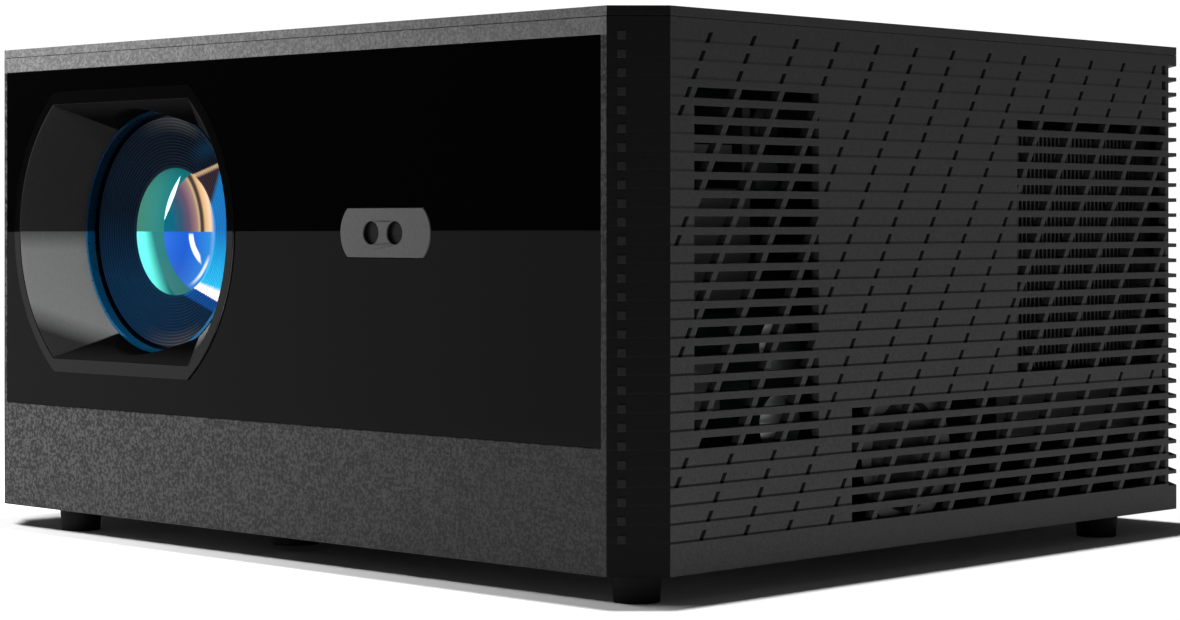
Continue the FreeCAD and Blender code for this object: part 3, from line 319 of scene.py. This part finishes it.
def funnel_blue():
    """Navy ridged funnel, lighter blue lower down; a painted, glowing blue, amber-edged patch of
    light and reflection on its inner side, a painted rim highlight, and its whole colour glows.
    """
    look = Look("funnel_blue", Specular_IOR_Level=0.05, Emission_Strength=0.5)
    across, up, _ = lens_frame(look)
    grain = look.noise(1200.0, 2.0)
    navy = look.ramp(grain, [(0.3, (0.001, 0.004, 0.009)), (0.7, (0.0015, 0.005, 0.012))])
    blue = look.ramp(grain, [(0.3, (0.0025, 0.013, 0.034)), (0.7, (0.003, 0.016, 0.04))])
    colour = look.mix(look.range(up, 6.0, -14.0), navy, blue)
    radius = reach(look, across, up)
    tall = look.maths("DIVIDE", look.maths("ABSOLUTE", up), radius)
    # painted highlight: pale grey crescents on the rim at top and bottom right
    painted_rim_highlight = look.maths("MULTIPLY", look.range(tall, 0.86, 0.99),
                       look.range(across, -14.0, 12.0))
    painted_rim_highlight = look.maths("MULTIPLY", painted_rim_highlight, look.range(radius, 28.5, 32.5))
    colour = look.mix(painted_rim_highlight, colour, (0.05, 0.05, 0.053))
    # painted light: a glowing blue band along the top of the patch
    top = look.maths("SUBTRACT", look.maths("ADD", 14.9, look.maths("MULTIPLY", across, 0.21)), up)
    low = look.maths("ADD", up, look.maths("ADD", 13.9, look.maths("MULTIPLY", across, 0.27)))
    glow = look.maths("MULTIPLY", band(look, top, -7.5, -3.5, 1.8), look.range(across, 7.0, 17.0))
    colour = look.mix(glow, colour, (0.001, 0.022, 0.055))
    # painted light patch: blue with amber and pale edges, standing in for light and reflection
    # from the lens
    painted_light_patch = look.maths("MULTIPLY", look.maths("MULTIPLY", look.range(top, -0.2, 0.2),
                                              look.range(low, -3.8, -3.2)),
                       look.range(across, 3.0, 5.0))
    sky = look.ramp(look.range(up, -18.0, 16.0), [(0.0, (0.03, 0.4, 0.6)),
                                                  (0.3, (0.012, 0.26, 0.5)),
                                                  (0.55, (0.008, 0.13, 0.36)),
                                                  (1.0, (0.006, 0.12, 0.3))])
    dusk = look.range(look.maths("SUBTRACT", up, look.maths("MULTIPLY", across, 1.45)),
                      -18.2, -15.0)
    painted_patch_colour = look.mix(dusk, sky, (0.02, 0.012, 0.018))
    painted_patch_colour = look.mix(look.range(top, 1.6, 0.7), painted_patch_colour, (0.36, 0.24, 0.14))
    edge = look.maths("SUBTRACT", low, look.maths("MULTIPLY", across, 0.1))
    painted_patch_colour = look.mix(look.range(edge, 1.6, 0.3), painted_patch_colour, (0.8, 0.7, 0.8))
    painted_patch_colour = look.mix(look.range(low, 0.1, -0.2), painted_patch_colour, (0.004, 0.05, 0.2))
    colour = look.mix(painted_light_patch, colour, painted_patch_colour)
    look.set("Base Color", colour)
    # the whole funnel colour glows, though it is no lamp
    look.set("Emission Color", colour)
    look.set("Roughness", look.range(grain, 0.3, 0.7, 0.36, 0.46))
    return look.material


def coated_front_painted_reflections():
    """Front element: painted reflections in coating colours, teal round one side, blue, violet and
    gold over the other, split at the lens axis; painted highlights; the colours glow.
    """
    look = Look("coated_glass_painted_reflections", Specular_IOR_Level=0.1, Emission_Strength=0.5)
    across, up, _ = lens_frame(look)
    soft = look.noise(60.0, 2.0)
    # painted reflection: colours split at the lens axis level, like the floor's reflection
    low = look.range(up, 0.12, -0.12)
    slope = look.maths("ADD", across, look.maths("MULTIPLY", up, 0.3))
    mint = look.range(slope, -7.2, -14.5)
    teal_low = look.mix(mint, (0.004, 0.11, 0.11), (0.11, 0.7, 0.6))
    teal_high = look.ramp(look.range(across, -18.0, 4.0), [(0.0, (0.035, 0.14, 0.1)),
                                                           (0.5, (0.02, 0.13, 0.115)),
                                                           (1.0, (0.003, 0.1, 0.115))])
    teal = look.mix(low, teal_high, teal_low)
    bend = look.range(reach(look, across, up, -7.0), 5.0, 26.0)
    upper = look.ramp(bend, [
        (0.0, (0.001, 0.075, 0.115)), (0.26, (0.003, 0.07, 0.11)), (0.42, (0.02, 0.05, 0.085)),
        (0.56, (0.07, 0.045, 0.08)), (0.66, (0.16, 0.09, 0.1)), (0.7, (0.2, 0.13, 0.1)),
        (0.735, (0.36, 0.24, 0.14)), (0.765, (0.03, 0.024, 0.024)), (0.8, (0.05, 0.035, 0.03)),
        (0.83, (0.45, 0.27, 0.12)), (0.92, (0.6, 0.42, 0.26)), (0.965, (0.12, 0.2, 0.45)),
        (1.0, (0.03, 0.2, 0.5))])
    lower = look.ramp(bend, [
        (0.0, (0.012, 0.08, 0.42)), (0.3, (0.004, 0.07, 0.38)), (0.5, (0.003, 0.06, 0.36)),
        (0.68, (0.008, 0.09, 0.42)), (0.9, (0.014, 0.16, 0.45)), (0.96, (0.1, 0.26, 0.5)),
        (1.0, (0.02, 0.15, 0.4))])
    disc = look.mix(low, upper, lower)
    inner = look.range(reach(look, across, up, 18.9), 20.5, 20.2)
    colour = look.mix(inner, teal, disc)
    # painted highlight: a white streak
    lean = look.maths("SUBTRACT", across, look.maths("MULTIPLY", up, 0.36))
    bow = look.maths("SUBTRACT", up, 9.9)
    painted_highlight_streak = look.maths("SUBTRACT", 1.15, look.maths("MULTIPLY", look.maths(
        "MULTIPLY", bow, bow), 0.025))
    off = look.maths("ABSOLUTE", look.maths("SUBTRACT", lean, -2.55))
    painted_highlight_streak = look.range(look.maths("SUBTRACT", painted_highlight_streak, off), 0.0, 0.25)
    colour = look.mix(painted_highlight_streak, colour, (0.55, 1.0, 1.0))
    # painted highlight: a white arc low on the right
    ring = look.maths("ABSOLUTE", look.maths("SUBTRACT", reach(look, across, up, 17.2, 0.72), 7.0))
    painted_highlight_arc = look.maths("MULTIPLY", look.range(ring, 1.05, 0.5), band(look, up, -10.3, -0.9, 0.6))
    painted_highlight_arc = look.maths("MULTIPLY", painted_highlight_arc, look.range(across, 13.5, 12.5))
    colour = look.mix(painted_highlight_arc, colour, (0.9, 0.95, 1.0))
    # painted highlight: a pale arc of light low down
    painted_highlight_smear = look.maths("ABSOLUTE", look.maths("SUBTRACT", reach(look, across, up, 0.6), 17.1))
    painted_highlight_smear = look.maths("MULTIPLY", look.range(painted_highlight_smear, 0.7, 0.1), band(look, up, -14.6, -8.0, 1.6))
    painted_highlight_smear = look.maths("MULTIPLY", painted_highlight_smear, look.range(across, 6.0, 9.0))
    colour = look.mix(look.maths("MULTIPLY", painted_highlight_smear, 0.75), colour, (0.75, 0.8, 0.95))
    look.set("Base Color", colour)
    # the painted colours also glow, though the lens is no lamp
    look.set("Emission Color", colour)
    look.set("Roughness", look.range(soft, 0.3, 0.7, 0.08, 0.12))
    return look.material


def board_green():
    look = Look("board_green", Coat_Weight=0.3, Coat_Roughness=0.2)
    tracks = look.cells(420.0, "DISTANCE_TO_EDGE", 0.35)
    copper = look.range(tracks, 0.05, 0.09, 1.0, 0.0)
    look.set("Base Color", look.mix(copper, (0.002, 0.022, 0.01), (0.008, 0.05, 0.022)))
    look.set("Roughness", look.range(tracks, 0.0, 0.3, 0.35, 0.5))
    look.set("Normal", look.bump(tracks, 0.00005, 0.4))
    return look.material


def brushed(name, colour, rough, stretch=(60.0, 60.0, 2400.0), metal=1.0):
    look = Look(name, Metallic=metal)
    scaled = look.node("ShaderNodeVectorMath", 0, {0: look.place, 1: stretch},
                       operation="MULTIPLY")
    lines = look.noise(1.0, 3.0, 0.6, scaled)
    dark = tuple(c * 0.8 for c in colour)
    look.set("Base Color", look.mix(lines, dark, colour))
    look.set("Roughness", look.range(lines, 0.3, 0.7, rough - 0.06, rough + 0.08))
    look.set("Normal", look.bump(lines, 0.00002, 0.3))
    return look.material


def sensor_plate():
    """Satin grey plate whose two holes are painted black inside as shade."""
    look = Look("sensor_plate_satin", Specular_IOR_Level=0.1)
    _, y, _ = look.axes()
    grain = look.noise(900.0, 2.0)
    face = look.ramp(grain, [(0.3, 0.076), (0.7, 0.09)])
    # painted shade: black inside the holes
    inside = look.maths("GREATER_THAN", y, 0.2 - CASE_Y)
    look.set("Base Color", look.mix(inside, face, (0.002, 0.002, 0.002)))
    look.set("Roughness", look.range(grain, 0.3, 0.7, 0.5, 0.6))
    return look.material


def foam_material():
    look = Look("open_foam")
    holes = look.cells(700.0)
    look.set("Base Color", look.ramp(holes, [(0.1, 0.008), (0.6, 0.05)]))
    look.set("Roughness", look.range(holes, 0.0, 1.0, 0.85, 0.95))
    look.set("Normal", look.bump(holes, 0.0006, 0.9))
    return look.material


MATERIALS = {
    "case": case_material(),
    "front_paint": stone_paint(),
    "front_glass": black_glass(),
    "hood": hood_material(),
    "lens_blue": blue_metal(),
    "lens_black": plain("lens_black", (0.01, 0.01, 0.012), 0.5),
    "optic_glass": plain("optic_glass", (0.35, 0.42, 0.5), 0.12),
    "window": plain("window_dark", (0.006, 0.006, 0.007), 0.3, Specular_IOR_Level=0.2),
    "rubber": plain("rubber_black", (0.005, 0.005, 0.005), 0.7, Specular_IOR_Level=0.12),
    "steel": brushed("steel_plated", (0.55, 0.56, 0.58), 0.3),
    "brass": brushed("brass_turned", (0.72, 0.52, 0.22), 0.3),
    "aluminium": brushed("aluminium_extruded", (0.62, 0.63, 0.65), 0.36),
    "black_plastic": plain("black_plastic", (0.014, 0.014, 0.015), 0.5),
    "board": board_green(),
    "mirror": brushed("mirror_silver", (0.85, 0.86, 0.88), 0.1, (20.0, 20.0, 20.0)),
    "foam": foam_material(),
    "keycap": plain("keycap_satin", (0.02, 0.02, 0.021), 0.38),
}


def paint_nodes():
    """Gives every CAD node the material of its slot."""
    slots = {row["node"]: row["material_slot"] for row in frame["record"]["subparts"]}
    for name, obj in NODES.items():
        obj.data.materials.clear()
        obj.data.materials.append(MATERIALS[slots[name]])


paint_nodes()
NODES["sensor_bezel"].data.materials[0] = sensor_plate()
anodised = brushed("black_anodised", (0.09, 0.09, 0.095), 0.4, metal=0.6)
for name in ("heat_sink", "psu_heatsinks", "processor_heatsink"):
    NODES[name].data.materials[0] = anodised


# ---------------------------------------------------------------- mesh helpers

def finished(name, mesh_data, material, body):
    """A mesh object from bmesh data that rides on a body."""
    mesh = bpy.data.meshes.new(name)
    mesh_data.normal_update()
    mesh_data.to_mesh(mesh)
    mesh_data.free()
    obj = bpy.data.objects.new(name, mesh)
    bpy.context.scene.collection.objects.link(obj)
    mesh.materials.append(material)
    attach(obj, body)
    return obj


def bevelled(obj, width):
    """Rounds the edges sharper than 30 degrees."""
    weld = obj.modifiers.new("weld", "WELD")
    weld.merge_threshold = 1e-6
    bevel = obj.modifiers.new("bevel", "BEVEL")
    bevel.width = width
    bevel.segments = 2
    bevel.limit_method = "ANGLE"
    bevel.angle_limit = math.radians(30)
    bevel.harden_normals = True


def turned(name, profile, material, body, segments=128, sharp=25.0):
    """A solid turned about the lens axis; the profile is a closed loop of (y, radius) in mm."""
    data = bmesh.new()
    rings = []
    for step in range(segments):
        turn = 2 * math.pi * step / segments
        rings.append([data.verts.new(((LENS_X + r * math.cos(turn)) * MM, y * MM,
                                      (LENS_Z + r * math.sin(turn)) * MM)) for y, r in profile])
    for step in range(segments):
        here, there = rings[step], rings[(step + 1) % segments]
        for index in range(len(profile)):
            after = (index + 1) % len(profile)
            data.faces.new((here[index], here[after], there[after], there[index]))
    bmesh.ops.recalc_face_normals(data, faces=data.faces)
    obj = finished(name, data, material, body)
    obj.data.polygons.foreach_set("use_smooth", [True] * len(obj.data.polygons))
    obj.data.set_sharp_from_angle(angle=math.radians(sharp))
    return obj


# ---------------------------------------------------------------- lens pieces

def lens_pieces():
    """Ridged funnel and coated front element, both with painted glowing reflections, in place of
    their plain CAD solids.
    """
    start, groove, ridge, pupil, glass_y = -105.2, 34.45, 33.4, 18.7, -102.4
    steps = 16
    width = (ridge - pupil) / steps
    profile = [(start + 3.4, groove), (start + 3.4, ridge), (start + 0.12, ridge),
               (start, ridge - 0.12)]
    for step in range(1, steps):
        radius = ridge - width * step
        depth = start + (glass_y - start) * step / steps
        profile += [(depth - 0.1, radius + 0.66 * width), (depth + 0.22, radius + 0.52 * width),
                    (depth + 0.22, radius + 0.16 * width), (depth, radius)]
    profile += [(glass_y, pupil), (glass_y + 0.12, pupil), (glass_y + 0.62, pupil + 1.5),
                (glass_y + 6, pupil + 1.5), (glass_y + 6, groove)]
    funnel = turned("lens_funnel", profile, funnel_blue(), "lens", 160)
    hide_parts("lens_baffle")
    rim, bulge, rim_y = pupil + 1.4, 3.6, glass_y + 0.7
    sphere = (rim ** 2 + bulge ** 2) / (2 * bulge)
    outline = []
    for step in range(25):
        radius = 0.02 + (rim - 0.02) * step / 24
        outline.append((rim_y - bulge + sphere - math.sqrt(sphere ** 2 - radius ** 2), radius))
    outline += [(rim_y + 2.5, rim), (rim_y + 2.5, 0.02)]
    glass = turned("lens_front_element", outline, coated_front_painted_reflections(), "lens", 128, 40.0)
    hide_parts("front_lens")


def facet_studs(side):
    """Small square pads down the front facet, one to each grille row."""
    data = bmesh.new()
    root = math.sqrt(0.5)
    outward = Vector((side * root, -root, 0))
    along = Vector((side * root, root, 0))
    start = Vector((side * FACE_X, -CASE_Y, 0))
    for row in range(ROWS):
        low = CASE_TOP - ROW_FIRST - ROW_PITCH * row
        corners = []
        for level, inset in ((-0.2, 0.0), (0.22, 0.0), (0.3, 0.12)):
            for a, b in ((2.5, 0.2), (4.6, 0.2), (4.6, 2.3), (2.5, 2.3)):
                a += inset if a < 3 else -inset
                b += inset if b < 1 else -inset
                point = start + along * a + outward * level + Vector((0, 0, low + b))
                corners.append(data.verts.new(point * MM))
        for ring in range(2):
            for index in range(4):
                after = (index + 1) % 4
                data.faces.new((corners[ring * 4 + index], corners[ring * 4 + after],
                                corners[ring * 4 + 4 + after], corners[ring * 4 + 4 + index]))
        data.faces.new(corners[8:12])
        data.faces.new(corners[3::-1])
    bmesh.ops.recalc_face_normals(data, faces=data.faces)
    name = "facet_studs_right" if side > 0 else "facet_studs_left"
    material = plain(name + "_look", (0.015, 0.015, 0.0155), 0.5, Specular_IOR_Level=0.1)
    finished(name, data, material, "case")


lens_pieces()
facet_studs(1)
facet_studs(-1)
for name, width in (("front_frame", 0.0002), ("top_cover", 0.0005), ("lens_hood", 0.0002),
                    ("sensor_bezel", 0.0002), ("base_tray", 0.0003), ("adjuster_pad", 0.0005)):
    bevelled(NODES[name], width)


# ---------------------------------------------------------------- floor, light and camera

LAMP_HIGH = 2.3
FILL, BACKDROP = 0.03, 1.05


def build_floor():
    """Pale floor; a glow that grows with distance makes up for the lamp's fall-off."""
    data = bmesh.new()
    edge, steps = 22.0, 24
    rows = []
    for j in range(steps + 1):
        row = []
        for i in range(steps + 1):
            a, b = i / steps * 2 - 1, j / steps * 2 - 1
            row.append(data.verts.new((a * abs(a) * edge, b * abs(b) * edge, 0)))
        rows.append(row)
    for j in range(steps):
        for i in range(steps):
            data.faces.new((rows[j][i], rows[j][i + 1], rows[j + 1][i + 1], rows[j + 1][i]))
    mesh = bpy.data.meshes.new("floor")
    data.to_mesh(mesh)
    data.free()
    obj = bpy.data.objects.new("floor", mesh)
    bpy.context.scene.collection.objects.link(obj)
    look = Look("floor_pale", Specular_IOR_Level=0.0)
    patchy = look.noise(3.0, 3.0)
    look.set("Base Color", look.ramp(patchy, [(0.3, 0.79), (0.7, 0.81)]))
    look.set("Roughness", look.range(patchy, 0.3, 0.7, 0.8, 0.9))
    away = look.node("ShaderNodeVectorMath", 1, {0: look.place}, operation="LENGTH")
    away = look.maths("DIVIDE", away, LAMP_HIGH)
    away = look.maths("ADD", look.maths("MULTIPLY", away, away), 1.0)
    glow = look.maths("SUBTRACT", 1.0, look.maths("POWER", away, -1.5))
    look.set("Emission Color", (1.0, 1.0, 1.0))
    look.set("Emission Strength", glow)
    mesh.materials.append(look.material)


def aimed(obj, at, target):
    obj.location = at
    obj.rotation_mode = "QUATERNION"
    obj.rotation_quaternion = (Vector(target) - Vector(at)).to_track_quat("-Z", "Y")
    bpy.context.scene.collection.objects.link(obj)


def build_light():
    """White backdrop, a small lamp high above and a strip light over the front's left top edge."""
    world = bpy.data.worlds.new("studio")
    bpy.context.scene.world = world
    world.use_nodes = True
    tree = world.node_tree
    tree.nodes.clear()
    out = tree.nodes.new("ShaderNodeOutputWorld")
    mix = tree.nodes.new("ShaderNodeMixShader")
    path = tree.nodes.new("ShaderNodeLightPath")
    shades = []
    for strength in (FILL, BACKDROP):
        shade = tree.nodes.new("ShaderNodeBackground")
        shade.inputs["Color"].default_value = (1, 1, 1, 1)
        shade.inputs["Strength"].default_value = strength
        shades.append(shade)
    tree.links.new(path.outputs["Is Camera Ray"], mix.inputs[0])
    tree.links.new(shades[0].outputs[0], mix.inputs[1])
    tree.links.new(shades[1].outputs[0], mix.inputs[2])
    tree.links.new(mix.outputs[0], out.inputs[0])
    high = bpy.data.lights.new("overhead", "POINT")
    high.energy = 262.0
    high.shadow_soft_size = 0.035
    aimed(bpy.data.objects.new("overhead", high), (0.0, 0.0, LAMP_HIGH), (0, 0.001, 0))
    strip = bpy.data.lights.new("top_strip", "AREA")
    strip.shape = "RECTANGLE"
    strip.size, strip.size_y = 0.42, 0.03
    strip.energy = 1.4
    holder = bpy.data.objects.new("top_strip", strip)
    holder.visible_glossy = False
    aimed(holder, (-0.23, -0.21, 0.25), (-0.2, -0.126, 0.13))


def build_camera():
    data = bpy.data.cameras.new("camera")
    data.sensor_width = 36.0
    data.lens = 84.8
    data.shift_y = -0.0742
    data.clip_start = 0.01
    data.clip_end = 100.0
    obj = bpy.data.objects.new("camera", data)
    obj.location = (0.5858, -0.6029, 0.0915)
    obj.rotation_euler = (math.radians(90), 0, math.radians(44.07))
    bpy.context.scene.collection.objects.link(obj)
    bpy.context.scene.camera = obj


build_floor()
build_light()
build_camera()
bpy.context.scene.view_settings.view_transform = "Standard"
